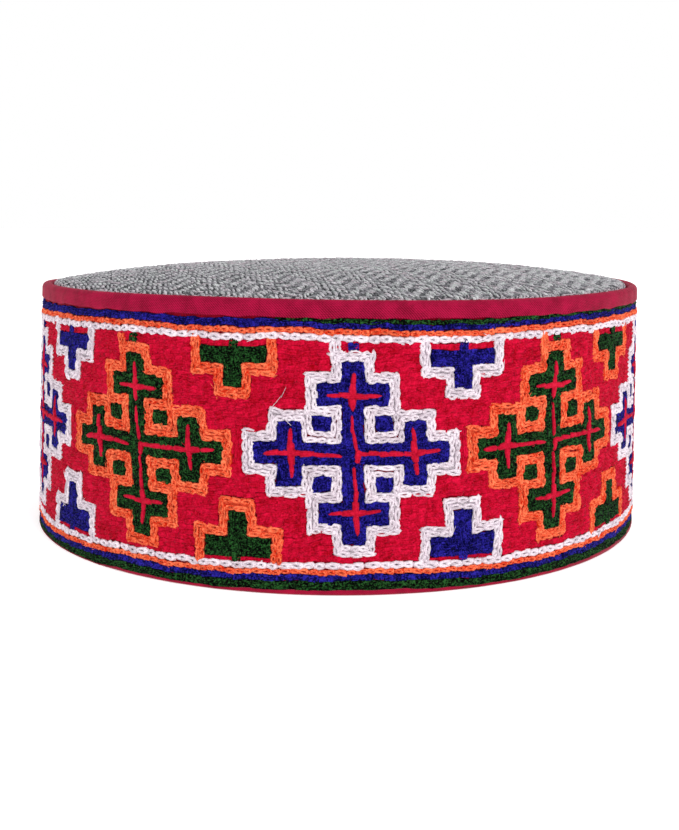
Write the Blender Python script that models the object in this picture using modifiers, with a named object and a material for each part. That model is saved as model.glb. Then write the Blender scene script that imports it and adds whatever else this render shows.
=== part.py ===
"""Kullu cap: a tweed body with a shallow tweed crown inside a stiff embroidered band.

Metres, +Z up, the front towards -Y. The origin is the centre of the circle that the lower edge rests on.
Every cloth piece is a strip or disc turned round the cap's axis, then eased a little out of true.
"""

import math

import bmesh
import bpy

# Driving dimensions of the whole cap
HEIGHT = 0.0738  # lower edge to the top of the binding
TOP_RADIUS = 0.0925  # outside of the binding
BOTTOM_RADIUS = 0.0953  # outside of the lower binding
TOP_SHIFT = 0.0009  # the cap leans, so its top sits this far towards +X
CROWN_RISE = 0.0050  # middle of the crown above its shoulder

# Cloth thicknesses and the clearance between pieces
BAND_CLOTH = 0.0030  # base cloth with its embroidery
TWEED = 0.0017
SATIN = 0.0007  # binding strip with its turnings
HEM_CLOTH = 0.0008  # lower binding strip
GAP = 0.0003

# Heights and widths of the edges
TOP_BINDING_DEPTH = 0.0045  # visible face of the top binding
TOP_BINDING_WIDTH = 0.0030  # across its folded top
HEM_FACE = 0.0015  # visible face of the lower binding
HEM_INSIDE = 0.0070  # how far the lower binding reaches up inside
HEM_CORNER = 0.0009
CROWN_LIFT = 0.0006  # crown's shoulder above the top of the binding
CROWN_TURN_DOWN = 0.0036  # top of the binding down to the crown's lower edge
CROWN_SHOULDER = 0.0022  # radius of the crown's edge
CROWN_FULLNESS = 3.0  # 2 is a parabola, more is flatter in the middle
BACK_SEAM = 0.0006  # slit between the band's two ends

# Facets
SEGMENTS = 72
WALL_ROWS = 4
CROWN_ROWS = 7
CROWN_ROW_SPREAD = 0.8  # under 1 sets the rows closer together towards the edge
CORNER_STEPS = 3

# The top edge isn't quite level. Angles run from the front towards +X.
RIM_WAVES = (
    # angle in degrees, half width in degrees, lift
    (-22.0, 26.0, 0.00025),
    (28.0, 30.0, -0.00030),
    (110.0, 45.0, 0.00020),
    (-125.0, 60.0, -0.00160),
)

# piece: base colour, roughness
CLOTH_LOOKS = {
    "band": ((0.56, 0.008, 0.030), 0.85),
    "side_wall": ((0.26, 0.26, 0.27), 0.95),
    "crown": ((0.30, 0.30, 0.31), 0.95),
    "top_binding": ((0.34, 0.012, 0.055), 0.45),
    "lower_binding": ((0.45, 0.010, 0.040), 0.75),
}


def clear_scene():
    """Removes the startup objects."""
    for obj in list(bpy.data.objects):
        bpy.data.objects.remove(obj)


def outer_radius(height):
    """The cap's outside tapers evenly from its lower edge to its top."""
    return BOTTOM_RADIUS + (TOP_RADIUS - BOTTOM_RADIUS) * height / HEIGHT


def arc(centre, radius, start, end, steps=CORNER_STEPS):
    """(depth, height) points on an arc, with angles in degrees from +depth towards +height."""
    points = []
    for i in range(steps + 1):
        angle = math.radians(start + (end - start) * i / steps)
        points.append((centre[0] + radius * math.cos(angle), centre[1] + radius * math.sin(angle)))
    return points


def rows(depth, low, high, count=WALL_ROWS):
    """Points up a straight wall at one depth inside the outer line."""
    return [(depth, low + (high - low) * i / count) for i in range(count + 1)]


def cloth_material(name):
    """One plain cloth finish for each piece."""
    colour, roughness = CLOTH_LOOKS[name]
    material = bpy.data.materials.new(name)
    material.use_nodes = True
    shader = material.node_tree.nodes["Principled BSDF"]
    shader.inputs["Base Color"].default_value = (*colour, 1.0)
    shader.inputs["Roughness"].default_value = roughness
    shader.inputs["Metallic"].default_value = 0.0
    material.diffuse_color = (*colour, 1.0)
    return material


def profile_object(name, section, closed):
    """A wire profile at the back of the cap, from (radius, height) points."""
    edges = [(i, i + 1) for i in range(len(section) - 1)]
    if closed:
        edges.append((len(section) - 1, 0))
    mesh = bpy.data.meshes.new(name)
    mesh.from_pydata([(0.0, radius, height) for radius, height in section], edges, [])
    return bpy.data.objects.new(name, mesh)


def turn(obj):
    """Spins a profile once round the cap's axis."""
    screw = obj.modifiers.new("turn", "SCREW")
    screw.axis = "Z"
    screw.angle = math.tau
    screw.steps = SEGMENTS
    screw.render_steps = SEGMENTS
    screw.use_merge_vertices = True
    screw.merge_threshold = 0.00001
    screw.use_normal_calculate = True


def ease(point):
    """Moves a point of the true turned shape to where the soft cap holds it."""
    share = point.z / HEIGHT
    angle = math.degrees(math.atan2(point.x, -point.y))
    lift = 0.0
    for centre, half_width, height in RIM_WAVES:
        away = abs((angle - centre + 180.0) % 360.0 - 180.0) / half_width
        if away < 1.0:
            lift += height * (0.5 + 0.5 * math.cos(math.pi * away))
    reach = min(1.0, math.hypot(point.x, point.y) / TOP_RADIUS)
    point.x += TOP_SHIFT * share
    point.z += lift * share**2 * reach**2


def finish_mesh(obj, collection):
    """Applies the modifiers, eases the shape, shades it and gives the piece its cloth."""
    collection.objects.link(obj)
    bpy.context.view_layer.update()
    graph = bpy.context.evaluated_depsgraph_get()
    mesh = bpy.data.meshes.new_from_object(obj.evaluated_get(graph))
    obj.modifiers.clear()
    obj.data = mesh
    mesh.name = obj.name
    shape = bmesh.new()
    shape.from_mesh(mesh)
    bmesh.ops.recalc_face_normals(shape, faces=shape.faces)
    for vertex in shape.verts:
        ease(vertex.co)
    shape.to_mesh(mesh)
    shape.free()
    mesh.shade_smooth()
    mesh.set_sharp_from_angle(angle=math.radians(40.0))
    mesh.materials.clear()
    mesh.materials.append(cloth_material(obj.name))


def cloth_strip(name, path, thickness, collection):
    """A strip of cloth: (depth, height) points along its outer face, turned and given a thickness."""
    obj = profile_object(name, [(outer_radius(high) - depth, high) for depth, high in path], closed=False)
    turn(obj)
    solidify = obj.modifiers.new("cloth", "SOLIDIFY")
    solidify.thickness = thickness
    solidify.offset = -1.0
    solidify.use_even_offset = True
    finish_mesh(obj, collection)
    return obj


def band(collection, cutters):
    """The embroidered band, thinner where the two bindings fold round its edges, slit at the back."""
    low_turn = HEM_FACE + GAP
    high_turn = HEIGHT - TOP_BINDING_DEPTH - GAP
    low_edge = HEM_CLOTH + GAP
    high_edge = HEIGHT - TOP_BINDING_WIDTH / 2
    low_inset = HEM_CLOTH + GAP
    high_inset = SATIN + GAP
    tongue_back = TOP_BINDING_WIDTH - SATIN - GAP
    section = [(tongue_back, high_edge), (high_inset, high_edge), (high_inset, high_turn)]
    section += reversed(rows(0.0, low_turn, high_turn))
    section += [(low_inset, low_turn), (low_inset, low_edge)]
    section += [(BAND_CLOTH, low_edge), (BAND_CLOTH, high_turn), (tongue_back, high_turn)]
    obj = profile_object("band", [(outer_radius(high) - depth, high) for depth, high in section], closed=True)
    turn(obj)
    slit = obj.modifiers.new("back_seam", "BOOLEAN")
    slit.operation = "DIFFERENCE"
    slit.solver = "EXACT"
    slit.object = seam_cutter(cutters)
    finish_mesh(obj, collection)
    return obj


def seam_cutter(cutters):
    """A thin upright box through the band at the back."""
    bpy.ops.mesh.primitive_cube_add(size=1.0, location=(0.0, BOTTOM_RADIUS, HEIGHT / 2))
    cutter = bpy.context.object
    cutter.name = "seam_cutter"
    cutter.scale = (BACK_SEAM, 4 * BAND_CLOTH, 2 * HEIGHT)
    bpy.ops.object.transform_apply(location=False, rotation=False, scale=True)
    cutter.hide_render = True
    cutter.display_type = "WIRE"
    for home in list(cutter.users_collection):
        home.objects.unlink(cutter)
    cutters.objects.link(cutter)
    bpy.context.view_layer.update()
    return cutter


def side_wall(collection):
    """The tweed wall inside the band, from the lower binding up to the crown's edge."""
    face = TOP_BINDING_WIDTH + GAP
    low = HEM_CLOTH + GAP
    high = HEIGHT - CROWN_TURN_DOWN - GAP
    return cloth_strip("side_wall", list(reversed(rows(face, low, high))), TWEED, collection)


def crown(collection):
    """The tweed crown: a shallow dome with its edge turned down onto the side wall."""
    rim = outer_radius(HEIGHT) - TOP_BINDING_WIDTH - GAP
    shoulder = HEIGHT + CROWN_LIFT
    dome_edge = rim - CROWN_SHOULDER
    section = []
    for i in range(CROWN_ROWS + 1):
        share = (i / CROWN_ROWS) ** CROWN_ROW_SPREAD
        section.append((dome_edge * share, shoulder + CROWN_RISE * (1 - share**CROWN_FULLNESS)))
    for i in range(1, CORNER_STEPS + 1):
        angle = math.pi / 2 * (1 - i / CORNER_STEPS)
        section.append(
            (dome_edge + CROWN_SHOULDER * math.cos(angle), shoulder - CROWN_SHOULDER * (1 - math.sin(angle)))
        )
    section.append((rim, HEIGHT - CROWN_TURN_DOWN))
    obj = profile_object("crown", section, closed=False)
    turn(obj)
    solidify = obj.modifiers.new("cloth", "SOLIDIFY")
    solidify.thickness = TWEED
    solidify.offset = -1.0
    solidify.use_even_offset = True
    finish_mesh(obj, collection)
    return obj


def top_binding(collection):
    """The satin strip folded over the band's upper edge."""
    low = HEIGHT - TOP_BINDING_DEPTH
    corner = TOP_BINDING_WIDTH / 2
    path = [(0.0, low), (0.0, low + TOP_BINDING_DEPTH / 3)]
    path += arc((corner, HEIGHT - corner), corner, 180.0, 0.0, 2 * CORNER_STEPS)
    path += [(TOP_BINDING_WIDTH, low)]
    return cloth_strip("top_binding", list(reversed(path)), SATIN, collection)


def lower_binding(collection):
    """The strip folded under the band and the side wall, which the cap stands on."""
    inner = TOP_BINDING_WIDTH + GAP + TWEED + GAP + HEM_CLOTH
    path = [(0.0, HEM_FACE)]
    path += arc((HEM_CORNER, HEM_CORNER), HEM_CORNER, 180.0, 270.0)
    path += arc((inner - HEM_CORNER, HEM_CORNER), HEM_CORNER, 270.0, 360.0)
    path += [(inner, HEM_INSIDE)]
    return cloth_strip("lower_binding", path, HEM_CLOTH, collection)


def main():
    clear_scene()
    cap = bpy.data.collections.new("kullu_cap")
    cutters = bpy.data.collections.new("cutters")
    for collection in (cap, cutters):
        bpy.context.scene.collection.children.link(collection)
    cutters.hide_render = True
    band(cap, cutters)
    side_wall(cap)
    crown(cap)
    top_binding(cap)
    lower_binding(cap)


main()
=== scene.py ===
"""Kullu cap, dressed: chain-stitched wool on the band, herringbone tweed on the crown, satin round the edges.

All sizes are in millimetres, as charted from the cloth, and become metres where a mesh is made. A place on
the band is charted as across, the way round from the front centre towards +X, and up, from the lower edge.
Out is the distance proud of the cap's turned outer line.
"""

import math
from collections import namedtuple

import bmesh
import bpy
import numpy as np
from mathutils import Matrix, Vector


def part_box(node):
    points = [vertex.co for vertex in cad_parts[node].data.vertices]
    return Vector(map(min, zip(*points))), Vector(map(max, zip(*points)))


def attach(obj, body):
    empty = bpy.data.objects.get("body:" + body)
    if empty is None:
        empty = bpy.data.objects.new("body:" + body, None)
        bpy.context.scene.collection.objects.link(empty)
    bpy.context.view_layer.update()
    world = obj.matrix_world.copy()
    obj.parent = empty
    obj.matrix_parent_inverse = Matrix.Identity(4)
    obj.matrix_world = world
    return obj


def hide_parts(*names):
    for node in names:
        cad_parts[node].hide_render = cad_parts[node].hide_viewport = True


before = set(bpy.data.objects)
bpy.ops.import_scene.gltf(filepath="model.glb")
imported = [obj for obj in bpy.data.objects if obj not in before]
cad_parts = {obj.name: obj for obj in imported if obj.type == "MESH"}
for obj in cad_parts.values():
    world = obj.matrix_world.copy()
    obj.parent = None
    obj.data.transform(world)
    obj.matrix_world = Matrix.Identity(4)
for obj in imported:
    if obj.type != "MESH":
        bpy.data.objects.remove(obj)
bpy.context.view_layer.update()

METRE = 0.001

# The cap's own sizes, as its solids have them
HIGHEST_LIFT = 0.24  # what the rim's waves add where they are highest
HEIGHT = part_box("top_binding")[1].z / METRE - HIGHEST_LIFT
TOP_RADIUS = 92.5
BOTTOM_RADIUS = 95.3
MEAN_RADIUS = 94.0  # where the band is charted
TOP_SHIFT = 0.9
BAND_CLOTH = 3.0
TWEED = 1.7
SATIN = 0.7
HEM_CLOTH = 0.8
GAP = 0.3
TOP_BINDING_DEPTH = 4.5
TOP_BINDING_WIDTH = 3.0
HEM_FACE = 1.5
HEM_INSIDE = 7.0
HEM_CORNER = 0.9
CROWN_LIFT = 0.6
CROWN_RISE = 5.0
CROWN_TURN_DOWN = 3.6
CROWN_SHOULDER = 2.2
CROWN_FULLNESS = 3.0
HALF_ROUND = math.pi * MEAN_RADIUS  # front centre to the seam at the back
BACK_SEAM = 0.6

Wave = namedtuple("Wave", "centre half_width lift")
RIM_WAVES = (
    Wave(-22.0, 26.0, 0.25),
    Wave(28.0, 30.0, -0.30),
    Wave(110.0, 45.0, 0.20),
    Wave(-125.0, 60.0, -1.6),
)

# Slow waves in cloth and rows: how large, how fast across and up, and where they start
Wander = namedtuple("Wander", "size across up start")
ROW_SWAYS = (Wander(0.16, 0.23, 0.71, 0.0), Wander(0.12, 0.37, -0.55, 1.0))
ROW_RISES = (Wander(0.14, 0.63, 0.29, 0.0), Wander(0.11, -0.31, 0.41, 2.0))
WALL_SLACK = (Wander(0.16, 0.083, 0.02, 0.0), Wander(0.10, 0.19, -0.05, 0.0))
BINDING_RIPPLE = (Wander(0.10, 0.55, 0.0, 0.0), Wander(0.08, 0.83, 0.0, 1.3), Wander(0.07, 0.27, 0.0, 0.0))
HEM_RIPPLE = (Wander(0.08, 0.47, 0.0, 0.0), Wander(0.06, 1.1, 0.0, 0.7))

# How far the border rows run above or below level, by place across
Level = namedtuple("Level", "across lift")
UPPER_ROWS = (
    Level(-180, 0.0), Level(-120, -0.9), Level(-100, -0.3), Level(-80, -0.1), Level(-60, 0.2),
    Level(-45, -0.2), Level(-30, -0.35), Level(-15, 0.1), Level(0, -0.25), Level(20, -0.5),
    Level(30, -0.7), Level(50, -0.2), Level(62, 0.2), Level(85, 0.15), Level(150, 0.0),
)
LOWER_ROWS = (
    Level(-150, -0.2), Level(-105, -2.0), Level(-95, -2.0), Level(-80, -1.6), Level(-70, -1.4),
    Level(-60, -0.8), Level(-45, -0.85), Level(-30, -0.9), Level(-20, -0.45), Level(0, -0.1),
    Level(15, 0.0), Level(30, -0.7), Level(45, -0.95), Level(70, -0.65), Level(90, -0.4),
    Level(150, -0.2),
)
UPPER_FELT = 44.0  # over this height the upper rows' lift starts to be felt
LOWER_FELT = 27.0  # and under this height the lower rows'
FELT_OVER = 18.0  # it comes in over this much

# Places where the hand strayed from the chart, by how much, and how far round the stray reaches
Stray = namedtuple("Stray", "across up right rise reach")
STRAYS = (
    Stray(3.0, 62.0, 0.5, 0.0, 7.0),
    Stray(12.0, 48.0, 0.3, -0.1, 6.0),
    Stray(-24.5, 36.0, -0.9, 0.0, 4.0),
    Stray(-17.0, 26.0, -0.9, 0.0, 5.0),
    Stray(-55.0, 38.0, -0.5, -0.3, 9.0),
    Stray(-31.0, 36.0, 1.0, -0.3, 6.0),
    Stray(-58.0, 61.0, -0.8, 0.0, 8.0),
    Stray(-60.0, 16.0, -0.2, 0.5, 8.0),
    Stray(64.0, 61.0, 0.8, 0.0, 9.0),
    Stray(59.0, 37.0, -0.4, 0.0, 8.0),
    Stray(78.0, 46.0, 0.0, 0.5, 7.0),
    Stray(50.0, 17.0, 0.1, 0.4, 6.0),
    Stray(-80.0, 37.0, 0.1, -0.8, 9.0),
    Stray(-37.0, 38.0, 0.6, 0.0, 4.0),
    Stray(-18.0, 41.0, -0.5, 0.0, 4.0),
    Stray(-27.0, 41.0, 0.0, 0.5, 4.0),
    Stray(27.0, 23.0, -0.8, 0.0, 5.0),
    Stray(-33.0, 21.0, -0.8, 0.0, 4.0),
    Stray(-2.0, 15.0, 0.2, 0.6, 5.0),
    Stray(42.0, 18.0, 0.0, 0.8, 5.0),
    Stray(-40.0, 16.0, -0.5, 0.6, 5.0),
    Stray(74.0, 9.0, 0.8, 0.1, 8.0),
    Stray(-50.0, 9.0, -0.6, -0.2, 8.0),
)

# Border rows between the bindings and the red ground
BorderRow = namedtuple("BorderRow", "wool up width pitch slant")
BORDERS = (
    BorderRow("green", 69.0, 1.5, 2.8, 0.0),
    BorderRow("blue", 67.85, 1.7, 2.8, 0.0),
    BorderRow("orange", 66.3, 1.65, 2.4, 0.25),
    BorderRow("white", 64.7, 2.25, 3.1, 0.15),
    BorderRow("white", 7.7, 2.25, 3.1, 0.15),
    BorderRow("orange", 6.1, 1.6, 2.4, 0.25),
    BorderRow("blue", 4.6, 1.95, 2.8, 0.0),
    BorderRow("green", 3.1, 1.6, 2.8, 0.0),
    BorderRow("green", 2.0, 1.5, 2.8, 0.0),
)
GREEN_HIDDEN = (-150.0, -18.0)  # the upper row is blue, not green, along here
HIDDEN_DROP = 0.5  # and sits this much lower
HIDDEN_WIDTH = 0.8  # with this share of its width
LOWEST_ROW = 0.8  # no row is sewn lower than this, however far the rows dip
FLOOR_CLEAR = 0.08  # and no yarn hangs lower than this
GROUND_LOW = 8.8
GROUND_HIGH = 63.8
GROUND_ROW = 1.19
GROUND_STITCH = 2.4
GROUND_FULL = 1.55  # how much wider than its row a ground stitch is
GROUND_STEP = 0.2  # how finely the bare ground is searched for
GROUND_TUCK = 0.1  # a ground row ends this far under an outline
GROUND_ENDS = (-0.3, 0.2)  # and then this much short or long
GROUND_VARIES = (0.88, 1.18)  # from row to row, the share of a stitch's length
CHANNEL = 4.0  # a gap between motifs narrower than this is sewn upright
CHANNEL_ROWS = (0.3, 0.7)  # at these shares of its width
CHANNEL_ENDS = 0.6

# The cross, from its middle. A half is half the width of that part of it.
CROSS_TIP_HALF = 3.0
CROSS_TIP_TOP = 23.2
CROSS_HEAD_TOP = 18.0
CROSS_HEAD_HALF = 8.9
CROSS_HEAD_FOOT = 12.3
CROSS_STEM_HALF = 2.8
CROSS_ARM_HALF = 2.7
CROSS_SIDE_START = 12.9
CROSS_SIDE_HALF = 8.2
CROSS_SIDE_END = 18.8
CROSS_SIDE_TIP_HALF = 2.8
CROSS_SIDE_TIP_END = 24.8
CROSS_EDGE_BOXES = ((5.5, 26.0), (11.8, 20.6), (21.3, 11.1), (27.8, 5.8))  # half width, half height
CROSS_PADDING = (  # starts and ends of the padding rows under the filling
    ((0.0, -21.0), (0.0, 21.0)),
    ((-23.0, 0.0), (23.0, 0.0)),
    ((-6.5, 15.1), (6.5, 15.1)),
    ((-6.5, -15.1), (6.5, -15.1)),
    ((15.8, -6.0), (15.8, 6.0)),
    ((-15.8, -6.0), (-15.8, 6.0)),
)
SQUARE_PLACE = (7.8, 7.6)
SQUARE_HALF = (2.3, 2.0)
SQUARE_DEPTHS = (0.65, 1.6)
LINK_RISE = (-1.0, 1.9)  # an outline's link to the border row, from the top of the tip
LINK_LEAN = 0.2
STUB_RISE = (0.2, 1.5)  # the filling's stub over the tip, from its top
STUB_SIDES = (-0.7, 0.6)

# The half motif that grows from a border, measured away from that border
TEE_BAR_HALF = 8.9
TEE_STEM_HALF = 2.5
TEE_EDGE_HALF = 11.6
TEE_EDGE_STEM_HALF = 4.9
TEE_DEPTHS = (0.7, 1.8)
TEE_STUB_SIDES = (-0.7, 0.4)
Tee = namedtuple("Tee", "border way bar_near bar_far stem_end edge_bar edge_stem")
TEES = (
    Tee(63.8, -1, 1.6, 5.8, 11.9, 8.8, 14.5),
    Tee(8.7, 1, 0.8, 6.0, 12.2, 8.6, 15.3),
)

# Motifs round the band. Lean shifts the top across, tilt lifts the side towards +X. The first cross is the
# other half of the last, which the seam at the back parts.
Cross = namedtuple("Cross", "wool edge across up wide high lean tilt")
SEAM_CROSS = 296.0
CROSSES = (
    Cross("green", "orange", BACK_SEAM - 2 * HALF_ROUND + SEAM_CROSS, 36.2, 1.0, 1.0, 0.0, 0.0),
    Cross("blue", "white", -233.4, 36.1, 1.0, 1.0, 0.01, 0.0),
    Cross("green", "orange", -173.2, 35.8, 1.0, 1.0, -0.02, 0.0),
    Cross("blue", "white", -113.2, 36.0, 1.0, 1.0, 0.0, 0.01),
    Cross("green", "orange", -54.6, 35.4, 0.985, 1.0, -0.078, -0.012),
    Cross("blue", "white", 4.0, 35.9, 0.995, 0.995, -0.028, 0.0),
    Cross("green", "orange", 61.2, 36.3, 0.99, 1.0, -0.003, 0.006),
    Cross("blue", "white", 118.4, 36.1, 1.0, 1.0, 0.0, 0.0),
    Cross("green", "orange", 177.2, 36.0, 1.0, 1.0, 0.02, 0.0),
    Cross("blue", "white", 236.6, 36.0, 1.0, 1.0, -0.01, 0.0),
    Cross("green", "orange", SEAM_CROSS, 36.0, 1.0, 1.0, 0.0, 0.0),
)
TeePair = namedtuple("TeePair", "wool edge across_top across_bottom")
TEE_PAIRS = (
    TeePair("green", "orange", -263.8, -263.4),
    TeePair("blue", "white", -203.4, -203.0),
    TeePair("green", "orange", -143.4, -143.2),
    TeePair("blue", "white", -85.2, -83.4),
    TeePair("green", "orange", -27.0, -24.9),
    TeePair("blue", "white", 32.2, 33.0),
    TeePair("green", "orange", 90.0, 89.8),
    TeePair("blue", "white", 147.8, 148.0),
    TeePair("green", "orange", 207.0, 206.6),
    TeePair("blue", "white", 266.4, 266.4),
)

# Red lines inside a cross, from its middle: where they start and end, and how wide they are there
RedLine = namedtuple("RedLine", "x0 y0 x1 y1 start_width end_width")
RED_LINES = (
    RedLine(0.0, 14.8, 0.0, 20.4, 1.9, 1.3),
    RedLine(0.0, 14.8, 0.0, 11.2, 2.0, 1.2),
    RedLine(0.0, 14.7, -6.0, 14.9, 1.6, 1.1),
    RedLine(0.0, 14.7, 6.4, 14.4, 1.6, 1.1),
    RedLine(-15.6, 0.1, -15.8, 6.0, 2.0, 1.3),
    RedLine(-15.6, 0.1, -15.4, -5.7, 2.0, 1.3),
    RedLine(-15.6, 0.1, -22.0, -0.1, 1.8, 1.5),
    RedLine(-15.6, 0.1, -3.4, -0.1, 1.7, 1.1),
    RedLine(1.0, 0.1, 15.6, 0.1, 1.3, 1.6),
    RedLine(15.6, 0.2, 15.5, 6.2, 2.0, 1.3),
    RedLine(15.6, 0.2, 16.2, -5.2, 1.9, 1.2),
    RedLine(15.6, 0.2, 21.9, 0.3, 1.7, 1.2),
    RedLine(1.2, 0.4, 1.0, -2.4, 1.9, 1.2),
    RedLine(0.6, 1.6, -0.2, 9.4, 1.0, 0.9),
    RedLine(0.4, -3.4, 0.4, -12.2, 0.9, 1.2),
    RedLine(0.5, -14.8, -5.8, -14.8, 1.7, 1.1),
    RedLine(0.5, -14.8, 6.8, -14.5, 1.7, 1.1),
    RedLine(0.6, -12.2, 0.7, -20.2, 1.8, 1.4),
)

# Stitch rows: how deep they start under the outer line, and how high the yarn stands
CLOTH_INSET = 1.1
Layer = namedtuple("Layer", "base rise")
GROUND_LAYER = Layer(-1.2, 0.95)
PAD_LAYER = Layer(-1.3, 0.9)
FILL_LAYER = Layer(-1.2, 1.05)
EDGE_LAYER = Layer(-1.2, 1.3)
STUB_LAYER = Layer(-0.7, 0.7)
LINE_LAYER = Layer(-0.75, 0.95)
LOOSE_LAYER = Layer(-0.1, 0.2)
FILL_DEPTHS = (0.6, 1.65, 2.7)
FILL_ROW = 1.5
FILL_STITCH = 2.5
PAD_ROW = 1.1 * FILL_ROW
EDGE_ROW = 1.72
EDGE_STITCH = 2.9
EDGE_OFFSET = 0.7  # middle of an outline row from the edge that it follows
EDGE_PAD = 1.45  # middle of the padding under a double outline from its outer edge
LINE_STITCH = 3.2
TUCK = 0.2  # each end of a stitch runs on by this share of its length, under or over its neighbour
CORNER_REACH = 0.15  # a run goes past its corner by this share of its width
HAIR = 0.14  # width of a stray hair of wool
HAIR_RISE = 0.2
HAIR_HALF = (0.4, 1.3)  # half a hair's length

# How much one stitch differs from the next: a spread, or the least and most share
KNOT_SPREAD = 0.09
TONE_SPREAD = 0.45
TURN_SPREAD = 0.05
PLACE_SPREAD = 0.07
TUCK_SPREAD = 0.05
SHAPE_SPREAD = 0.035
LENGTH_VARIES = (0.95, 1.06)
WIDTH_VARIES = (0.93, 1.09)
RISE_VARIES = (0.86, 1.12)

LOOSE_END = ((-12.8, 52.2), (-14.2, 50.2), (-15.2, 48.7), (-16.3, 47.2))  # a loose fibre, in charted places
HEM_DIP = 0.8  # how far the hem's edge follows the dips of the lowest rows

# Herringbone of the crown: two over two, its columns leaning left as they run back
COLUMN_WARPS = 6
WARP_PITCH = 1.12
WEFT_PITCH = 1.60
TWEED_START = -3.4
TWEED_TURN = math.radians(20.0)
TWEED_REACH = 89.1
TWEED_SUNK = 0.75  # how deep the threads start under the crown's outer face
WARP_RISE = 0.90
WEFT_RISE = 0.68
WARP_WIDTH = 0.86
WEFT_WIDTH = 1.1

random = np.random.default_rng(1938)


def smooth(share):
    """Eases a share from 0 to 1."""
    share = np.clip(share, 0.0, 1.0)
    return share * share * (3.0 - 2.0 * share)


def outer_radius(up):
    """Radius of the cap's turned outer line."""
    return BOTTOM_RADIUS + (TOP_RADIUS - BOTTOM_RADIUS) * up / HEIGHT


def eased(points):
    """Moves points of the true turned shape to where the soft cap holds them."""
    points = np.array(points, float)
    share = points[..., 2] / HEIGHT
    angle = np.degrees(np.arctan2(points[..., 0], -points[..., 1]))
    lift = np.zeros_like(share)
    for wave in RIM_WAVES:
        away = np.abs((angle - wave.centre + 180.0) % 360.0 - 180.0) / wave.half_width
        lift += np.where(away < 1.0, wave.lift * (0.5 + 0.5 * np.cos(np.pi * away)), 0.0)
    reach = np.minimum(1.0, np.hypot(points[..., 0], points[..., 1]) / TOP_RADIUS)
    points[..., 0] += TOP_SHIFT * share
    points[..., 2] += lift * share**2 * reach**2
    return points


def on_band(across, up, out):
    """Points in metres from their charted places on the band."""
    angle = across / MEAN_RADIUS
    radius = outer_radius(up) + out
    return eased(np.stack((radius * np.sin(angle), -radius * np.cos(angle), up), -1)) * METRE


def level(table, across):
    """How far a border row is off level there."""
    places = [row.across for row in table]
    index = np.interp(across, places, range(len(table)))
    low = np.clip(np.floor(index).astype(int), 0, len(table) - 2)
    lifts = np.array([row.lift for row in table])
    return lifts[low] + (lifts[low + 1] - lifts[low]) * smooth(index - low)


def wander(waves, across, up):
    """How far slow waves move a charted place."""
    return sum(wave.size * np.sin(wave.across * across + wave.up * up + wave.start) for wave in waves)


def by_hand(across, up):
    """The sewn place of a charted one: no row that a hand sews is quite straight or level."""
    upper = smooth((up - UPPER_FELT) / FELT_OVER) * level(UPPER_ROWS, across)
    lower = smooth((LOWER_FELT - up) / FELT_OVER) * level(LOWER_ROWS, across)
    sway = wander(ROW_SWAYS, across, up)
    rise = wander(ROW_RISES, across, up)
    for stray in STRAYS:
        near = np.exp(-((across - stray.across) ** 2 + (up - stray.up) ** 2) / stray.reach**2)
        sway = sway + near * stray.right
        rise = rise + near * stray.rise
    return across + sway, np.maximum(up + upper + lower + rise, LOWEST_ROW)


def deselect_all():
    """Leaves nothing selected or active."""
    if bpy.context.object and bpy.context.object.mode == "EDIT":
        bpy.ops.object.mode_set(mode="OBJECT")
    bpy.ops.object.select_all(action="DESELECT")


def pick(wanted):
    """Selects the vertices of the piece being edited whose place is wanted."""
    mesh = bpy.context.object.data
    shape = bmesh.from_edit_mesh(mesh)
    for vertex in shape.verts:
        vertex.select_set(bool(wanted(vertex.co)))
    shape.select_flush_mode()
    bmesh.update_edit_mesh(mesh)


# Small shapes that repeat

Shape = namedtuple("Shape", "points loops totals uvs")


def points_of(mesh):
    """A mesh's points, one row each."""
    points = np.empty(len(mesh.vertices) * 3)
    mesh.vertices.foreach_get("co", points)
    return points.reshape(-1, 3)


def measured(parts, label):
    """One whole number for every corner or face of a mesh."""
    values = np.empty(len(parts), int)
    parts.foreach_get(label, values)
    return values


def edited_shape():
    """Makes the piece being edited a shape to copy, 1 long from its foot, 1 to each side and 1 high."""
    obj = bpy.context.object
    bpy.ops.object.mode_set(mode="OBJECT")
    mesh = obj.data
    points = points_of(mesh)
    low, high = points.min(0), points.max(0)
    points[:, 0] = (points[:, 0] - low[0]) / (high[0] - low[0])
    points[:, 1] = points[:, 1] / high[1]
    points[:, 2] = (points[:, 2] - low[2]) / (high[2] - low[2])
    loops = measured(mesh.loops, "vertex_index")
    totals = measured(mesh.polygons, "loop_total")
    uvs = np.empty(len(mesh.loops) * 2)
    mesh.uv_layers[0].data.foreach_get("uv", uvs)
    bpy.data.objects.remove(obj)
    return Shape(points, loops, totals, uvs.reshape(-1, 2))


def lay_ball(sides, rings):
    """Starts a small shape: a ball with its poles at its foot and head, open for editing."""
    deselect_all()
    bpy.ops.mesh.primitive_uv_sphere_add(segments=sides, ring_count=rings, radius=1.0, location=(0, 0, 0))
    bpy.ops.object.mode_set(mode="EDIT")
    bpy.ops.mesh.select_all(action="SELECT")
    bpy.ops.transform.rotate(value=math.pi / 2, orient_axis="Y", center_override=(0.0, 0.0, 0.0))


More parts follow.
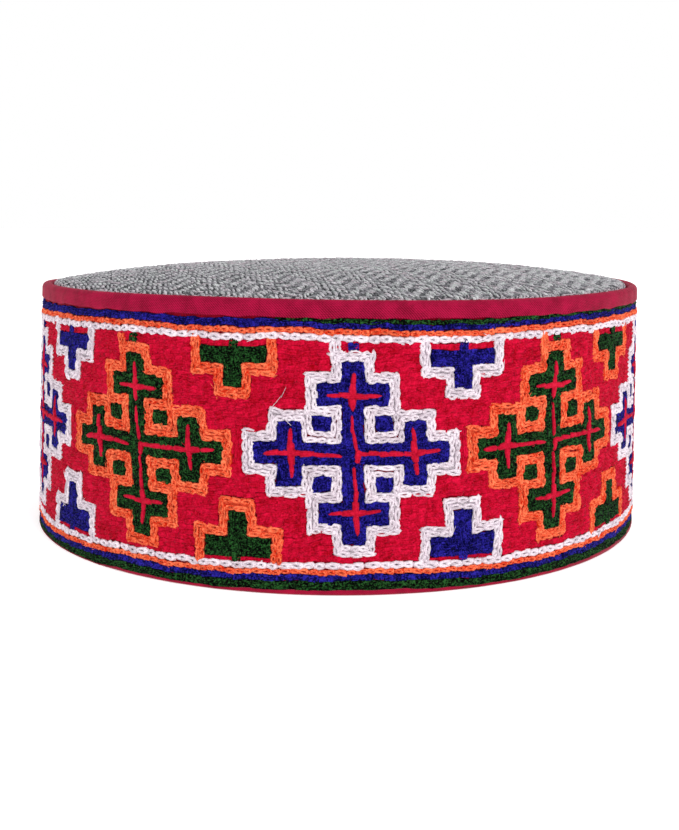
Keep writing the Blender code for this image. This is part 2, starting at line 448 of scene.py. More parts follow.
def chain_loop(turns, sides, hole):
    """A chain stitch: a ring of yarn drawn out long, with its foot pinched and tucked down."""
    deselect_all()
    bpy.ops.mesh.primitive_torus_add(
        major_segments=turns, minor_segments=sides, location=(0, 0, 0),
        major_radius=1.0, minor_radius=1.0 - hole,
    )
    bpy.ops.object.mode_set(mode="EDIT")
    bpy.ops.mesh.select_all(action="SELECT")
    bpy.ops.transform.resize(value=(1.7, 0.8, 1.0))
    pick(lambda place: place.x < -0.5)
    bpy.ops.transform.resize(value=(1.0, 0.82, 1.0))
    bpy.ops.transform.translate(value=(-0.35, 0.0, -0.25))
    pick(lambda place: place.x > 1.2)
    bpy.ops.transform.resize(value=(1.0, 1.12, 1.0))
    bpy.ops.transform.translate(value=(0.0, 0.0, 0.08))
    return edited_shape()


def closed_stitch(groove):
    """A chain stitch drawn tight: two strands with a groove of this depth between them."""
    lay_ball(5, 4)
    bpy.ops.transform.rotate(value=-math.pi / 2, orient_axis="X", center_override=(0.0, 0.0, 0.0))
    bpy.ops.transform.resize(value=(2.2, 1.0, 0.8))
    pick(lambda place: place.z < -0.1)
    bpy.ops.transform.resize(value=(1.0, 1.5, 1.0))
    pick(lambda place: place.z > 0.1)
    bpy.ops.transform.resize(value=(1.0, 0.7, 1.0))
    bpy.ops.transform.translate(value=(0.0, 0.0, 0.35))
    pick(lambda place: place.z > 0.7)
    bpy.ops.transform.translate(value=(0.0, 0.0, -0.55 - groove))
    pick(lambda place: 1.0 < abs(place.x) < 2.0)
    bpy.ops.transform.resize(value=(1.0, 1.25, 1.2))
    return edited_shape()


def wool_float(sides, rings):
    """A short plump length of yarn with tapered ends."""
    lay_ball(sides, rings)
    bpy.ops.transform.resize(value=(2.2, 1.0, 0.8))
    return edited_shape()


def tapered_float():
    """A length of yarn that is full at its foot and drawn in a little at its head."""
    lay_ball(6, 4)
    bpy.ops.transform.resize(value=(2.2, 1.0, 0.8))
    pick(lambda place: -2.0 < place.x < -1.0)
    bpy.ops.transform.resize(value=(1.0, 1.4, 1.3))
    pick(lambda place: 1.0 < place.x < 2.0)
    bpy.ops.transform.resize(value=(1.0, 1.05, 1.0))
    return edited_shape()


def joined_copies(name, shape, places, tones, yarn_length, yarn_girth):
    """One mesh of many copies of a shape. Places holds every copy's points, in metres."""
    count, corners = places.shape[:2]
    loops = (shape.loops[None, :] + corners * np.arange(count)[:, None]).ravel()
    totals = np.tile(shape.totals, count)
    mesh = bpy.data.meshes.new(name)
    mesh.vertices.add(count * corners)
    mesh.vertices.foreach_set("co", places.astype(np.float32).ravel())
    mesh.loops.add(len(loops))
    mesh.loops.foreach_set("vertex_index", loops.astype(np.int32))
    mesh.polygons.add(len(totals))
    mesh.polygons.foreach_set("loop_start", (np.cumsum(totals) - totals).astype(np.int32))
    mesh.polygons.foreach_set("use_smooth", np.ones(len(totals), bool))
    uvs = np.tile(shape.uvs, (count, 1, 1)) * np.array((1.0, yarn_girth))
    uvs[..., 0] = uvs[..., 0] * yarn_length[:, None] + 10.0 * random.random(count)[:, None]
    mesh.uv_layers.new(name="yarn").data.foreach_set("uv", uvs.astype(np.float32).ravel())
    tone = mesh.attributes.new("tone", "FLOAT", "POINT")
    tone.data.foreach_set("value", np.repeat(tones, corners).astype(np.float32))
    mesh.update(calc_edges=True)
    obj = bpy.data.objects.new(name, mesh)
    bpy.context.scene.collection.objects.link(obj)
    return obj


# Rows of stitches on the band

sewn = {}


def sew(wool, feet, heads, width, layer, end_width=None):
    """Adds stitches of one wool, each from its foot to its head, in charted places."""
    count = len(feet)
    widths = np.linspace(width, width if end_width is None else end_width, count)
    rows = np.column_stack((feet, heads, widths, np.full(count, layer.base), np.full(count, layer.rise)))
    sewn.setdefault(wool, []).append(rows)


def run(start, end, pitch):
    """Feet and heads of nearly equal stitches along a straight run."""
    start, end = np.array(start, float), np.array(end, float)
    count = max(1, round(float(np.linalg.norm(end - start)) / pitch))
    shares = np.arange(count + 1) / count
    shares[1:-1] += random.normal(0.0, KNOT_SPREAD, count - 1) / count
    knots = start + (end - start) * shares[:, None]
    return knots[:-1], knots[1:]


def sew_path(wool, corners, closed, pitch, width, layer, place):
    """Sews between corners, which place() puts on the chart, and a little past each."""
    ends = corners[1:] + corners[:1] if closed else corners[1:]
    for start, end in zip(corners, ends):
        start, end = np.array(place(start)), np.array(place(end))
        past = (end - start) / np.linalg.norm(end - start) * CORNER_REACH * width
        feet, heads = run(start - past, end + past, pitch)
        sew(wool, feet, heads, width, layer)


def inset(corners, distance):
    """Moves the sides of a square-cornered outline in by a distance. It runs anticlockwise."""
    moved = []
    count = len(corners)
    for i, corner in enumerate(corners):
        shift = np.zeros(2)
        for start, end in ((corners[i - 1], corner), (corner, corners[(i + 1) % count])):
            side = np.subtract(end, start)
            shift += np.array((-side[1], side[0])) / np.abs(side).sum()
        moved.append(tuple(np.add(corner, shift * distance)))
    return moved


def mirrored(quarter):
    """A whole outline, anticlockwise from +x, from the corners of its quarter between +x and +y."""
    left = [(-x, y) for x, y in reversed(quarter)]
    lower = [(x, -y) for x, y in reversed(quarter + left)]
    return quarter + left + lower


def cross_outline():
    """The filled cross."""
    return mirrored(
        [
            (CROSS_SIDE_TIP_END, CROSS_SIDE_TIP_HALF),
            (CROSS_SIDE_END, CROSS_SIDE_TIP_HALF),
            (CROSS_SIDE_END, CROSS_SIDE_HALF),
            (CROSS_SIDE_START, CROSS_SIDE_HALF),
            (CROSS_SIDE_START, CROSS_ARM_HALF),
            (CROSS_STEM_HALF, CROSS_ARM_HALF),
            (CROSS_STEM_HALF, CROSS_HEAD_FOOT),
            (CROSS_HEAD_HALF, CROSS_HEAD_FOOT),
            (CROSS_HEAD_HALF, CROSS_HEAD_TOP),
            (CROSS_TIP_HALF, CROSS_HEAD_TOP),
            (CROSS_TIP_HALF, CROSS_TIP_TOP),
        ]
    )


def cross_edge():
    """The outer edge of a cross's outline, a staircase of its boxes."""
    boxes = sorted(CROSS_EDGE_BOXES, reverse=True)
    quarter = [boxes[0]]
    for (_, high), (narrower, higher) in zip(boxes, boxes[1:]):
        quarter += [(narrower, high), (narrower, higher)]
    return mirrored(quarter)


def box_outline(centre, half):
    """A rectangle round a centre, anticlockwise."""
    return [
        (centre[0] + side * half[0], centre[1] + end * half[1])
        for side, end in ((1, -1), (1, 1), (-1, 1), (-1, -1))
    ]


def cross_place(cross):
    """Puts a point of the ideal cross on the chart."""

    def place(point):
        x, y = point
        return (
            cross.across + cross.wide * x + cross.lean * y,
            cross.up + cross.high * y + cross.tilt * x,
        )

    return place


def sew_cross(cross):
    """One cross: its outline rows, its filling, the four small squares and the red lines."""
    place = cross_place(cross)
    fill = cross_outline()
    edge = cross_edge()
    sew_path(cross.edge, inset(edge, EDGE_OFFSET), True, EDGE_STITCH, EDGE_ROW, EDGE_LAYER, place)
    sew_path(cross.edge, inset(fill, -EDGE_OFFSET), True, EDGE_STITCH, EDGE_ROW, EDGE_LAYER, place)
    sew_path(cross.edge + "_padding", inset(edge, EDGE_PAD), True, EDGE_STITCH, EDGE_ROW, PAD_LAYER, place)
    for depth in FILL_DEPTHS:
        sew_path(cross.wool, inset(fill, depth), True, FILL_STITCH, FILL_ROW, FILL_LAYER, place)
    for pad in CROSS_PADDING:
        sew_path(cross.wool, list(pad), False, FILL_STITCH, PAD_ROW, PAD_LAYER, place)
    sew_squares(cross, place)
    for line in RED_LINES:
        feet, heads = run(place((line.x0, line.y0)), place((line.x1, line.y1)), LINE_STITCH)
        sew("red_line", feet, heads, line.start_width, LINE_LAYER, line.end_width)
    sew_tip(cross, place)


def sew_squares(cross, place):
    """The small squares in the corners of a cross, each in a ring of the outline's wool."""
    for side in (-1, 1):
        for end in (-1, 1):
            square = box_outline((side * SQUARE_PLACE[0], end * SQUARE_PLACE[1]), SQUARE_HALF)
            ring = inset(square, -EDGE_OFFSET)
            sew_path(cross.edge, ring, True, EDGE_STITCH, EDGE_ROW, EDGE_LAYER, place)
            for depth in SQUARE_DEPTHS:
                sew_path(cross.wool, inset(square, depth), True, FILL_STITCH, FILL_ROW, FILL_LAYER, place)


def sew_tip(cross, place):
    """What joins the top of a cross to the border: two links of its outline and a stub of its filling."""
    tip_half, tip_top = CROSS_EDGE_BOXES[0]
    for tip_side in (-tip_half + EDGE_OFFSET, -CROSS_TIP_HALF - EDGE_OFFSET):
        link = [(tip_side, tip_top + LINK_RISE[0]), (tip_side - LINK_LEAN, tip_top + LINK_RISE[1])]
        sew_path(cross.edge, link, False, EDGE_STITCH, EDGE_ROW, EDGE_LAYER, place)
    for side in STUB_SIDES:
        stub = [(side, tip_top + STUB_RISE[0]), (side, tip_top + STUB_RISE[1])]
        sew_path(cross.wool, stub, False, FILL_STITCH, FILL_ROW, STUB_LAYER, place)


def sew_tee(wool, edge, across, tee):
    """One half motif, growing away from a border."""

    def place(point):
        return (across + point[0], tee.border + tee.way * point[1])

    def turned(corners):
        return corners if tee.way > 0 else corners[::-1]

    def outline(bar, stem, near, bar_far, stem_far):
        half = [(bar, near), (bar, bar_far), (stem, bar_far), (stem, stem_far)]
        return half + [(-x, y) for x, y in reversed(half)]

    outer = outline(
        TEE_EDGE_HALF - EDGE_OFFSET, TEE_EDGE_STEM_HALF - EDGE_OFFSET, -0.3,
        tee.edge_bar - EDGE_OFFSET, tee.edge_stem - EDGE_OFFSET,
    )
    inner = outline(
        TEE_BAR_HALF + EDGE_OFFSET, TEE_STEM_HALF + EDGE_OFFSET, -0.1,
        tee.bar_far + EDGE_OFFSET, tee.stem_end + EDGE_OFFSET,
    )
    for corners in (outer, inner):
        sew_path(edge, turned(corners), False, EDGE_STITCH, EDGE_ROW, EDGE_LAYER, place)
    between = outline(
        TEE_EDGE_HALF - EDGE_PAD, TEE_EDGE_STEM_HALF - EDGE_PAD, 0.4,
        tee.edge_bar - EDGE_PAD, tee.edge_stem - EDGE_PAD,
    )
    sew_path(edge + "_padding", turned(between), False, EDGE_STITCH, EDGE_ROW, PAD_LAYER, place)
    fill = outline(TEE_BAR_HALF, TEE_STEM_HALF, tee.bar_near, tee.bar_far, tee.stem_end)
    for depth in TEE_DEPTHS:
        sew_path(wool, inset(fill, depth), True, FILL_STITCH, FILL_ROW, FILL_LAYER, place)
    middle = (tee.bar_near + tee.bar_far) / 2
    bar_core = [(2.0 - TEE_BAR_HALF, middle), (TEE_BAR_HALF - 2.0, middle)]
    stem_core = [(0.0, middle), (0.0, tee.stem_end - 1.2)]
    for core in (bar_core, stem_core):
        sew_path(wool, core, False, FILL_STITCH, FILL_ROW, FILL_LAYER, place)
    strip, reach = tee.bar_near / 2, TEE_BAR_HALF + 0.3
    feet, heads = run(place((-reach, strip)), place((reach, strip)), GROUND_STITCH)
    sew("red", feet, heads, tee.bar_near + 0.3, GROUND_LAYER)
    for side in TEE_STUB_SIDES:
        stub = [(side, tee.bar_near + 1.0), (side, 0.2)]
        sew_path(wool, stub, False, FILL_STITCH, FILL_ROW, STUB_LAYER, place)


def covered(across, up):
    """True where a motif leaves no red ground."""
    inside = np.zeros(across.shape, bool)
    for cross in CROSSES:
        spread = np.linalg.inv([[cross.wide, cross.lean], [cross.tilt, cross.high]])
        x = spread[0, 0] * (across - cross.across) + spread[0, 1] * (up - cross.up)
        y = spread[1, 0] * (across - cross.across) + spread[1, 1] * (up - cross.up)
        for wide, high in CROSS_EDGE_BOXES:
            inside |= (np.abs(x) < wide - GROUND_TUCK) & (np.abs(y) < high - GROUND_TUCK)
    for pair in TEE_PAIRS:
        for middle, tee in zip((pair.across_top, pair.across_bottom), TEES):
            x = np.abs(across - middle)
            y = tee.way * (up - tee.border)
            inside |= (x < TEE_EDGE_HALF - GROUND_TUCK) & (y < tee.edge_bar - GROUND_TUCK)
            inside |= (x < TEE_EDGE_STEM_HALF - GROUND_TUCK) & (y < tee.edge_stem - GROUND_TUCK)
    return inside


def sew_ground():
    """Level red rows wherever no motif is."""
    across = np.arange(-HALF_ROUND, HALF_ROUND, GROUND_STEP)
    rows = round((GROUND_HIGH - GROUND_LOW) / GROUND_ROW)
    for i in range(rows):
        up = GROUND_LOW + (i + 0.5) * (GROUND_HIGH - GROUND_LOW) / rows
        bare = ~covered(across, np.full(across.shape, up))
        steps = np.flatnonzero(np.diff(np.concatenate(([False], bare, [False])).astype(int)))
        for first, last in zip(steps[::2], steps[1::2]):
            if across[last - 1] - across[first] < CHANNEL:
                continue
            start = across[first] - random.uniform(*GROUND_ENDS)
            end = across[last - 1] + random.uniform(*GROUND_ENDS)
            feet, heads = run((start, up), (end, up), GROUND_STITCH * random.uniform(*GROUND_VARIES))
            if i % 2:
                feet, heads = heads, feet
            sew("red", feet, heads, GROUND_ROW * GROUND_FULL, GROUND_LAYER)
    sew_channels()


def sew_channels():
    """Upright red rows in the narrow gaps between the sides of neighbouring crosses."""
    wide, high = CROSS_EDGE_BOXES[-1]
    order = sorted(CROSSES, key=lambda cross: cross.across)
    for left, right in zip(order, order[1:]):
        start, end = left.across + wide * left.wide, right.across - wide * right.wide
        if 0.0 < end - start < CHANNEL:
            low, top = left.up - high - CHANNEL_ENDS, left.up + high + CHANNEL_ENDS
            for share in CHANNEL_ROWS:
                middle = start + share * (end - start)
                feet, heads = run((middle, low), (middle, top), GROUND_STITCH)
                sew("red", feet, heads, (end - start) * 0.6 + 0.4, GROUND_LAYER)


def sew_borders():
    """Rows of chain stitch all round, between the bindings and the ground."""
    for row in BORDERS:
        start = random.uniform(0, row.pitch)
        feet, heads = run((-HALF_ROUND + start, row.up), (HALF_ROUND, row.up), row.pitch)
        feet[:, 1] -= row.slant
        heads[:, 1] += row.slant
        layer = EDGE_LAYER if row.wool in ("white", "orange") else FILL_LAYER
        if row is BORDERS[0]:
            seen = (feet[:, 0] < GREEN_HIDDEN[0]) | (feet[:, 0] > GREEN_HIDDEN[1])
            drop = (0.0, HIDDEN_DROP)
            sew("blue", feet[~seen] - drop, heads[~seen] - drop, row.width * HIDDEN_WIDTH, layer)
            feet, heads = feet[seen], heads[seen]
        sew(row.wool, feet, heads, row.width, layer)


def sew_loose_end():
    """The long pale fibre that lies loose on the red near the front."""
    places = np.array(LOOSE_END)
    sew("white", places[:-1], places[1:], HAIR, LOOSE_LAYER)


def loose_hairs(rows, count):
    """Fine hairs lying on a wool's stitches, a little askew."""
    rows = rows[rows[:, 4] > HAIR]
    rows = rows[random.integers(0, len(rows), count)]
    middle = (rows[:, 0:2] + rows[:, 2:4]) / 2 + random.normal(0.0, 0.35, (count, 2))
    along = rows[:, 2:4] - rows[:, 0:2]
    angle = np.arctan2(along[:, 1], along[:, 0]) + random.normal(0.0, 0.45, count)
    half = np.column_stack((np.cos(angle), np.sin(angle))) * random.uniform(*HAIR_HALF, count)[:, None]
    widths = random.uniform(HAIR * 0.6, HAIR * 1.3, count)
    base = rows[:, 5] + rows[:, 6] * random.uniform(0.7, 0.95, count)
    return np.column_stack((middle - half, middle + half, widths, base, np.full(count, HAIR_RISE)))


def stitched_wool(wool, shape, hairs):
    """All the stitches of one wool with the hairs that lie on them, as one piece."""
    rows = np.vstack(sewn[wool])
    piece = laid_on_band(wool + "_stitches", shape, rows, 0.0)
    if hairs:
        fuzz = laid_on_band(wool + "_hairs", wool_float(3, 3), loose_hairs(rows, hairs), 1.5)
        deselect_all()
        fuzz.select_set(True)
        piece.select_set(True)
        bpy.context.view_layer.objects.active = piece
        bpy.ops.object.join()
    return piece


def laid_on_band(name, shape, rows, tone):
    """A copy of the shape for every row of places, wrapped round the band."""
    tones = np.clip(random.normal(0.0, TONE_SPREAD, len(rows)), -1.0, 1.0) + tone
    half_slit = BACK_SEAM / 2 + 0.2
    inside = np.abs(rows[:, 0] + rows[:, 2]) / 2 < HALF_ROUND - half_slit
    rows, tones = rows[inside], tones[inside]
    count = len(rows)
    foot, head = rows[:, 0:2].copy(), rows[:, 2:4].copy()
    for end in (foot, head):
        np.clip(end[:, 0], half_slit - HALF_ROUND, HALF_ROUND - half_slit, out=end[:, 0])
        end[:, 0], end[:, 1] = by_hand(end[:, 0], end[:, 1])
    along = head - foot
    long = np.maximum(np.linalg.norm(along, axis=1), 0.6)
    along /= long[:, None]
    turn = random.normal(0.0, TURN_SPREAD, count)
    along = np.column_stack(
        (
            along[:, 0] * np.cos(turn) - along[:, 1] * np.sin(turn),
            along[:, 0] * np.sin(turn) + along[:, 1] * np.cos(turn),
        )
    )
    left = np.column_stack((-along[:, 1], along[:, 0]))
    foot = foot + left * random.normal(0.0, PLACE_SPREAD, count)[:, None]
    foot = foot - along * (long * random.normal(TUCK, TUCK_SPREAD, count))[:, None]
    reach = long * (1.0 + 2.0 * TUCK) * random.uniform(*LENGTH_VARIES, count)
    half = rows[:, 4] / 2 * random.uniform(*WIDTH_VARIES, count)
    rise = rows[:, 6] * random.uniform(*RISE_VARIES, count)
    points = shape.points[None] + random.normal(0.0, SHAPE_SPREAD, (count, len(shape.points), 3))
    forward = points[..., 0:1] * reach[:, None, None]
    sideways = points[..., 1:2] * half[:, None, None]
    flat = foot[:, None] + along[:, None] * forward + left[:, None] * sideways
    flat[..., 1] = np.maximum(flat[..., 1], FLOOR_CLEAR)
    out = rows[:, 5, None] + np.maximum(points[..., 2], 0.0) * rise[:, None]
    places = on_band(flat[..., 0], flat[..., 1], out)
    return joined_copies(name, shape, places, tones, reach, 1.0)


# Turned cloth

def turned_cloth(name, section, segments, slit=0.0):
    """Spins a closed section of (radius, up) points round the cap's axis."""
    deselect_all()
    bpy.ops.mesh.primitive_circle_add(vertices=len(section), radius=1.0, location=(0, 0, 0))
    obj = bpy.context.object
    obj.name = obj.data.name = name
    bpy.ops.object.mode_set(mode="EDIT")
    shape = bmesh.from_edit_mesh(obj.data)
    shape.verts.ensure_lookup_table()
    start = slit / 2
    for vertex, (radius, up) in zip(shape.verts, section):
        vertex.co = (-radius * math.sin(start), radius * math.cos(start), up)
    bmesh.update_edit_mesh(obj.data)
    bpy.ops.mesh.select_all(action="SELECT")
    if slit:
        bpy.ops.mesh.edge_face_add()
    bpy.ops.mesh.spin(
        steps=segments, angle=math.tau - slit, center=(0.0, 0.0, 0.0), axis=(0.0, 0.0, 1.0),
        use_auto_merge=False,
    )
    bpy.ops.mesh.select_all(action="SELECT")
    bpy.ops.mesh.remove_doubles(threshold=0.001)
    bpy.ops.mesh.select_all(action="SELECT")
    bpy.ops.mesh.normals_make_consistent(inside=False)
    bpy.ops.object.mode_set(mode="OBJECT")
    return obj


def settle(obj, move=None):
    """Gives a turned piece its charted UV map, its soft moves and its eased place, in metres."""
    mesh = obj.data
    points = points_of(mesh)
    angle = np.arctan2(points[:, 0], -points[:, 1])
    radius = np.hypot(points[:, 0], points[:, 1])
    across = angle * MEAN_RADIUS
    corner = measured(mesh.loops, "vertex_index")
    starts = measured(mesh.polygons, "loop_start")
    totals = measured(mesh.polygons, "loop_total")
    face = np.repeat(np.arange(len(totals)), totals)
    u = across[corner]
    highest = np.maximum.reduceat(u, starts)[face]
    u = np.where(highest - u > HALF_ROUND, u + 2 * HALF_ROUND, u)
    v = points[corner, 2] - radius[corner]
    chart = np.column_stack((u, v)).astype(np.float32)
    mesh.uv_layers.new(name="cloth").data.foreach_set("uv", chart.ravel())
    if move is not None:
        radius, points[:, 2] = move(across, points[:, 2], radius)
        points[:, 0] = radius * np.sin(angle)
        points[:, 1] = -radius * np.cos(angle)
    mesh.vertices.foreach_set("co", (eased(points) * METRE).astype(np.float32).ravel())
    mesh.update()
    mesh.shade_smooth()
    mesh.set_sharp_from_angle(angle=math.radians(50.0))
    return obj


def arc(centre, radius, start, end, steps):
    """Points on an arc, with angles in degrees from the first axis towards the second."""
    angles = np.radians(np.linspace(start, end, steps + 1))
    return [(centre[0] + radius * math.cos(a), centre[1] + radius * math.sin(a)) for a in angles]


def from_outer_line(points):
    """(radius, up) of points given by their depth under the outer line."""
    return [(outer_radius(up) - depth, up) for depth, up in points]


def straight(depth, low, high, count):
    """Points up a straight wall at one depth."""
    return [(depth, low + (high - low) * i / count) for i in range(count + 1)]


def crown_height(radius):
    """Height of the tweed crown's outer face over a circle of that radius."""
    rim = outer_radius(HEIGHT) - TOP_BINDING_WIDTH - GAP
    dome_edge = rim - CROWN_SHOULDER
    share = np.minimum(radius / dome_edge, 1.0)
    dome = HEIGHT + CROWN_LIFT + CROWN_RISE * (1.0 - share**CROWN_FULLNESS)
    over = np.clip((radius - dome_edge) / CROWN_SHOULDER, 0.0, 1.0)
    return dome - CROWN_SHOULDER * (1.0 - np.sqrt(1.0 - over**2))


def make_band_cloth():
    """The crimson cloth and its stiffening under the stitches."""
    low_turn, high_turn = HEM_FACE + GAP, HEIGHT - TOP_BINDING_DEPTH - GAP
    low_edge, high_edge = HEM_CLOTH + GAP, HEIGHT - TOP_BINDING_WIDTH / 2
    section = [(CLOTH_INSET, low_edge)] + straight(CLOTH_INSET, low_turn, high_turn, 12)
    section += [(CLOTH_INSET, high_edge), (TOP_BINDING_WIDTH - SATIN - GAP, high_edge)]
    section += [(TOP_BINDING_WIDTH - SATIN - GAP, high_turn), (BAND_CLOTH, high_turn), (BAND_CLOTH, low_edge)]
    obj = turned_cloth("band_cloth", from_outer_line(section), 240, BACK_SEAM / MEAN_RADIUS)

    def move(across, up, radius):
        _, sewn_up = by_hand(across, up)
        return radius + 0.12 * np.sin(0.9 * sewn_up) * np.sin(0.21 * across), up

    return settle(obj, move)


def make_side_wall():
    """The tweed wall of the body, which shows from below."""
    face = TOP_BINDING_WIDTH + GAP
    low, high = HEM_CLOTH + GAP, HEIGHT - CROWN_TURN_DOWN - GAP
    section = straight(face, low, high, 10) + straight(face + TWEED, low, high, 10)[::-1]
    obj = turned_cloth("side_wall_tweed", from_outer_line(section), 180)

    def move(across, up, radius):
        middle = smooth((up - 8.0) / 10.0) * smooth((high - 1.0 - up) / 10.0)
        slack = wander(WALL_SLACK, across, up)
        return radius + middle * np.minimum(slack, 0.1), up

    return settle(obj, move)


def make_crown_cloth():
    """The crown's tweed under its floats: dark for its own dark yarn and for painted shade between the
    floats.
    """
    rim = outer_radius(HEIGHT) - TOP_BINDING_WIDTH - GAP
    reaches = [rim * (1.0 - (1.0 - i / 30) ** 1.3) for i in range(31)]
    sunk = 0.45
    outer = [(r, float(crown_height(r)) - sunk) for r in reaches[:-1]]
    outer += [(rim - 0.1, HEIGHT + CROWN_LIFT - CROWN_SHOULDER), (rim - 0.1, HEIGHT - CROWN_TURN_DOWN)]
    inner_rim = rim - TWEED
    inner = [(inner_rim, HEIGHT - CROWN_TURN_DOWN)]
    inner += [
        (min(r, inner_rim), float(crown_height(min(r, inner_rim - 0.3))) - TWEED) for r in reaches[-3::-1]
    ]
    obj = settle(turned_cloth("crown_tweed", outer[::-1] + inner[::-1], 180))
    chart_straight(obj)
    return obj


def chart_straight(obj):
    """Charts cloth that is cut flat: straight across and along its columns, not round the cap."""
    mesh = obj.data
    points = points_of(mesh) / METRE
    corner = measured(mesh.loops, "vertex_index")
    across = points[:, 0] * math.cos(TWEED_TURN) + points[:, 1] * math.sin(TWEED_TURN) - TWEED_START
    along = points[:, 1] * math.cos(TWEED_TURN) - points[:, 0] * math.sin(TWEED_TURN)
    chart = np.column_stack((across, along))[corner]
    mesh.uv_layers["cloth"].data.foreach_set("uv", chart.astype(np.float32).ravel())


def make_top_binding():
    """The satin strip folded over the upper edge, a little puckered where it is sewn down."""
    low = HEIGHT - TOP_BINDING_DEPTH
    corner = TOP_BINDING_WIDTH / 2
    outer = [(0.16, low), (0.0, low + 0.35)] + straight(0.0, low + 1.0, HEIGHT - corner - 0.2, 3)
    outer += arc((corner, HEIGHT - corner), corner, 180.0, 0.0, 10)
    outer += [(TOP_BINDING_WIDTH, low + 1.0), (TOP_BINDING_WIDTH, low)]
    back = corner - SATIN
    inner = [(TOP_BINDING_WIDTH - SATIN, low)] + arc((corner, HEIGHT - corner), back, 0.0, 180.0, 6)
    inner += [(SATIN, low + 0.1)]
    obj = turned_cloth("top_binding_satin", from_outer_line((outer + inner)[::-1]), 360)

    def move(across, up, radius):
        down = smooth((HEIGHT - 0.6 - up) / (TOP_BINDING_DEPTH - 0.6))
        front = smooth((radius - outer_radius(up) + 1.2) / 1.0)
        edge = smooth((low + 1.2 - up) / 1.2) * front
        ripple = wander(BINDING_RIPPLE, across, up)
        pucker = 0.05 * np.sin(1.9 * across) * np.sin(0.9 * up)
        return radius + front * down * (0.7 * ripple + pucker), up + edge * (ripple * 1.4 + 0.05)

    return settle(obj, move)


def make_lower_binding():
    """The crimson strip folded under the lower edge, which shows less where the rows dip over it."""
    inner_face = TOP_BINDING_WIDTH + GAP + TWEED + GAP + HEM_CLOTH
    outer = arc((HEM_CORNER, HEM_CORNER), HEM_CORNER, 180.0, 270.0, 4)
    outer = [(0.1, HEM_FACE), (0.0, HEM_FACE - 0.25)] + outer
    outer += arc((inner_face - HEM_CORNER, HEM_CORNER), HEM_CORNER, 270.0, 360.0, 4)
    outer += [(inner_face, HEM_INSIDE / 2), (inner_face, HEM_INSIDE)]
    inner = [(inner_face - HEM_CLOTH, HEM_INSIDE), (inner_face - HEM_CLOTH, 1.2)]
    inner += [(inner_face - HEM_CLOTH - 0.3, HEM_CLOTH), (HEM_CLOTH + 0.3, HEM_CLOTH)]
    inner += [(HEM_CLOTH, 1.1), (HEM_CLOTH, HEM_FACE)]
    obj = turned_cloth("lower_binding_cloth", from_outer_line(outer + inner), 360)

    def move(across, up, radius):
        front = smooth((radius - outer_radius(up) + 1.6) / 0.6)
        ripple = wander(HEM_RIPPLE, across, up)
        shown = np.clip(1.0 + (HEM_DIP * level(LOWER_ROWS, across) + ripple) / HEM_FACE, 0.2, 1.2)
        inside = smooth((up - 2.0) / 4.0)
        return radius + inside * 1.2 * ripple, up * (1.0 + front * (shown - 1.0)) + inside * ripple

    return settle(obj, move)


# Yarn on the crown: how far threads, picks and floats stray, and how much floats vary

THREAD_SPREAD = 0.06
PICK_SPREAD = 0.15
FLOAT_TURN = 0.11
FLOAT_TUCK = 0.75  # how much longer than its span a float is, in threads
FLOAT_LONG = (0.92, 1.08)
FLOAT_WIDE = (0.75, 1.15)
FLOAT_RISE = (0.86, 1.06)
LINT_SUNK = -0.05  # lint lies this much over the tweed


def herringbone_floats():
    """Where the herringbone's threads show: warp floats, then weft floats, as thread, pick and span."""
    half_warps = round(TWEED_REACH * 1.1 / WARP_PITCH)
    half_picks = round(TWEED_REACH * 1.1 / WEFT_PITCH)
    warps, picks = np.arange(-half_warps, half_warps), np.arange(-half_picks, half_picks)
    warp, pick_row = np.meshgrid(warps, picks, indexing="ij")
    inside = warp % COLUMN_WARPS
    climb = np.where((warp // COLUMN_WARPS) % 2 == 0, inside, COLUMN_WARPS - 1 - inside)
    phase = (pick_row + climb) % 4
    lying = phase == 0
    warp_floats = np.column_stack((warp[lying], pick_row[lying] + 0.5, np.full(lying.sum(), 2.0)))
    under = phase >= 2
    starts = under[1:-2] & ~under[:-3]
    span = 1.0 + under[2:-1] + (under[2:-1] & under[3:])
    weft = (warp[1:-2] + (span - 1.0) / 2.0)[starts]
    weft_floats = np.column_stack((weft, pick_row[1:-2][starts], span[starts]))
    return warp_floats, weft_floats


def laid_on_crown(name, shape, middles, lean, long, wide, sunk, rise):
    """Lengths of yarn laid over the crown's tweed, as one piece."""
    count = len(long)
    direction = np.column_stack((np.cos(lean), np.sin(lean)))
    left = np.column_stack((-direction[:, 1], direction[:, 0]))
    points = shape.points[None] + random.normal(0.0, 0.06, (count, len(shape.points), 3))
    forward = (points[..., 0:1] - 0.5) * long[:, None, None]
    sideways = points[..., 1:2] * wide[:, None, None] / 2
    flat = middles[:, None] + direction[:, None] * forward + left[:, None] * sideways
    radius = np.hypot(flat[..., 0], flat[..., 1])
    flat = flat * np.minimum(1.0, TWEED_REACH / np.maximum(radius, 1.0))[..., None]
    height = crown_height(np.minimum(radius, TWEED_REACH)) - sunk + points[..., 2] * rise[:, None]
    tones = np.clip(random.normal(0.0, 0.5, count), -1.0, 1.0)
    places = eased(np.dstack((flat, height))) * METRE
    return joined_copies(name, shape, places, tones, long, 1.4)


